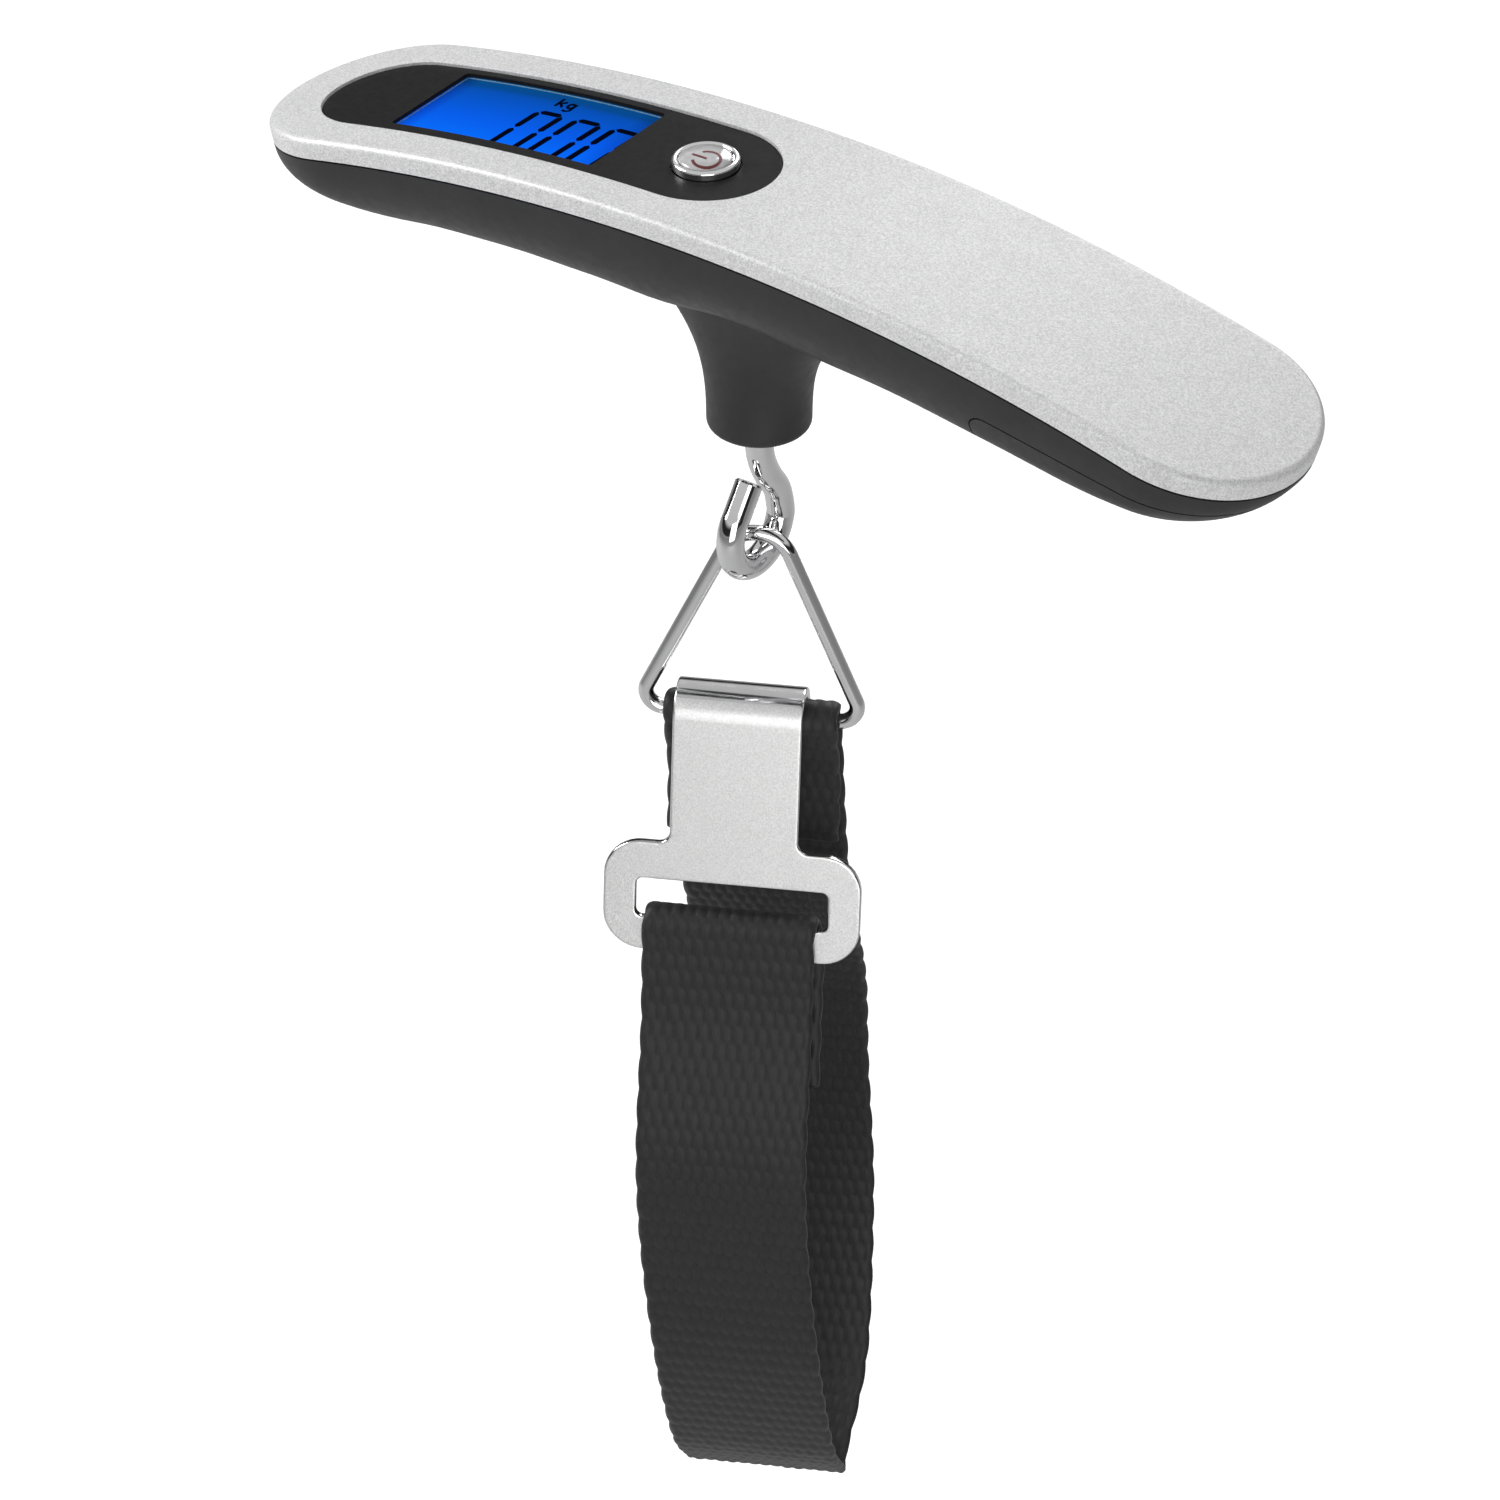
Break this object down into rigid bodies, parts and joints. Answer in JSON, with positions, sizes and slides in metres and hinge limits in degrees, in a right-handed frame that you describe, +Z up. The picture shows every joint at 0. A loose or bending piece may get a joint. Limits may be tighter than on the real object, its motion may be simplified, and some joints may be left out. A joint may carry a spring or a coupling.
{
  "type": "digital luggage scale",
  "caption": "Hand-held hanging scale: an arched handle with a digital display, and a swivel hook that carries a triangle ring and a webbing strap loop with a hook-over buckle.",
  "frame": {"origin": "on the hook's swivel axis, at the level where the handle's two shells meet above it, which is where a hand holds it up", "axes": "+Z up along the swivel axis, +X along the handle towards its battery end, -Y towards the user who reads the display"},
  "size_m": [0.1676, 0.0554, 0.2303],
  "materials": {
    "silver": "silver paint with a fine sparkle, satin",
    "soft_black": "soft-touch black",
    "dark_window": "smoked acrylic, fine matte texture",
    "blue_lcd": "blue backlit display",
    "light_guide": "milky light guide",
    "contact_rubber": "striped contact rubber",
    "white_plastic": "natural acetal",
    "circuit_board": "green solder mask",
    "black_plastic": "moulded black",
    "white_lead": "insulated wire",
    "red_lead": "insulated wire",
    "chrome": "polished chrome plate",
    "clear_button": "clear crowned button",
    "aluminium": "machined",
    "gauge_film": "polyimide film",
    "steel": "zinc plated",
    "gilt_contact": "gilt spring contact",
    "satin_nickel": "satin nickel plate",
    "black_webbing": "coarse plain-weave webbing"
  },
  "bodies": {
    "handle": {"top_cover": "silver", "bottom_shell": "soft_black", "display_window": "dark_window", "lcd_panel": "blue_lcd", "backlight": "light_guide", "contact_strip": "contact_rubber", "lcd_frame": "white_plastic", "main_board": "circuit_board", "controller_chip": "black_plastic", "switch_body": "black_plastic", "gauge_lead": "white_lead", "battery_lead": "red_lead", "load_cell": "aluminium", "gauge_upper": "gauge_film", "gauge_lower": "gauge_film", "cell_screw_1": "steel", "cell_screw_2": "steel", "thrust_washer": "steel", "hook_bush": "white_plastic", "battery_tray": "black_plastic", "coin_cell": "steel", "contact_negative": "gilt_contact", "contact_positive": "gilt_contact", "shell_screw_1": "steel", "shell_screw_2": "steel", "shell_screw_3": "steel", "shell_screw_4": "steel"},
    "button": {"power_button": "chrome", "button_lens": "clear_button", "switch_plunger": "white_plastic"},
    "door": {"battery_door": "soft_black"},
    "hook": {"hook": "chrome", "hook_nut": "steel"},
    "ring": {"triangle_ring": "chrome"},
    "strap": {"strap_rear_leg": "black_webbing"},
    "buckle": {"buckle_plate": "satin_nickel", "strap_front_leg": "black_webbing"}
  },
  "joints": [
    {"name": "button_press", "type": "slide", "parent": "handle", "child": "button", "axis": [0.0407, 0, -0.9992], "range_m": [0, 0.0006], "stiffness_N_per_m": 300, "springref_m": -0.001},
    {"name": "door_slide", "type": "slide", "parent": "handle", "child": "door", "axis": [0.989, 0, -0.1476], "range_m": [0, 0.012]},
    {"name": "hook_swivel", "type": "hinge", "parent": "handle", "child": "hook", "pos_m": [0, 0, -0.0357], "axis": [0, 0, 1], "continuous": true},
    {"name": "ring_swing", "type": "hinge", "parent": "hook", "child": "ring", "pos_m": [0, -0.00085, -0.0583], "axis": [0, 1, 0], "range_deg": [-15, 20]},
    {"name": "strap_swing", "type": "hinge", "parent": "ring", "child": "strap", "pos_m": [0, 0, -0.085], "axis": [0.887, 0.4617, 0], "range_deg": [-35, 35]},
    {"name": "buckle_lift", "type": "slide", "parent": "strap", "child": "buckle", "axis": [0, 0, 1], "range_m": [0, 0.006]}
  ]
}
